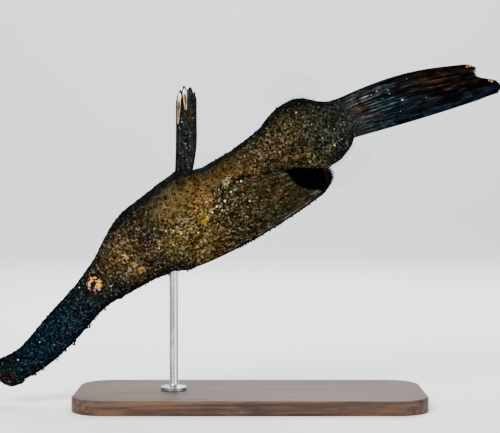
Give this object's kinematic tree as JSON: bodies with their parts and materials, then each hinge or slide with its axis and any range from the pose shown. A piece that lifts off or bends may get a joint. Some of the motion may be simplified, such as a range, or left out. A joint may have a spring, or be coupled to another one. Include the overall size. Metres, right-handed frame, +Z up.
{
  "type": "robust ghost pipefish",
  "caption": "Still, life-size model of a female robust ghost pipefish, head down, with folded fins and a brood pouch, on a plain display stand.",
  "frame": {"origin": "centre of the flat underside of the display stand's base", "axes": "+X towards the fish's tail, -X towards its snout, -Y its left side, +Z up with the back of the fish uppermost"},
  "size_m": [0.1415, 0.038, 0.0938],
  "materials": {
    "skin": "painted skin, olive brown with dark pits and pale specks, satin",
    "eye": "clear gloss over an orange and white iris",
    "fin_skin": "painted fin, dark brown with fine ray lines, satin",
    "clear_fin": "thin translucent fin with fine rays",
    "base": "dark stained wood, satin",
    "rod": "brushed"
  },
  "bodies": {
    "root": {"snout": "skin", "lower_jaw": "skin", "head": "skin", "gill_cover_left": "skin", "gill_cover_right": "skin", "trunk": "skin", "tail_stem": "skin", "eye_left": "eye", "eye_right": "eye", "first_dorsal_fin": "fin_skin", "pelvic_fin_left": "fin_skin", "pelvic_fin_right": "fin_skin", "tail_fin": "fin_skin", "second_dorsal_fin": "clear_fin", "anal_fin": "clear_fin", "pectoral_fin_left": "clear_fin", "pectoral_fin_right": "clear_fin", "stand_base": "base", "stand_rod": "rod"}
  },
  "joints": []
}
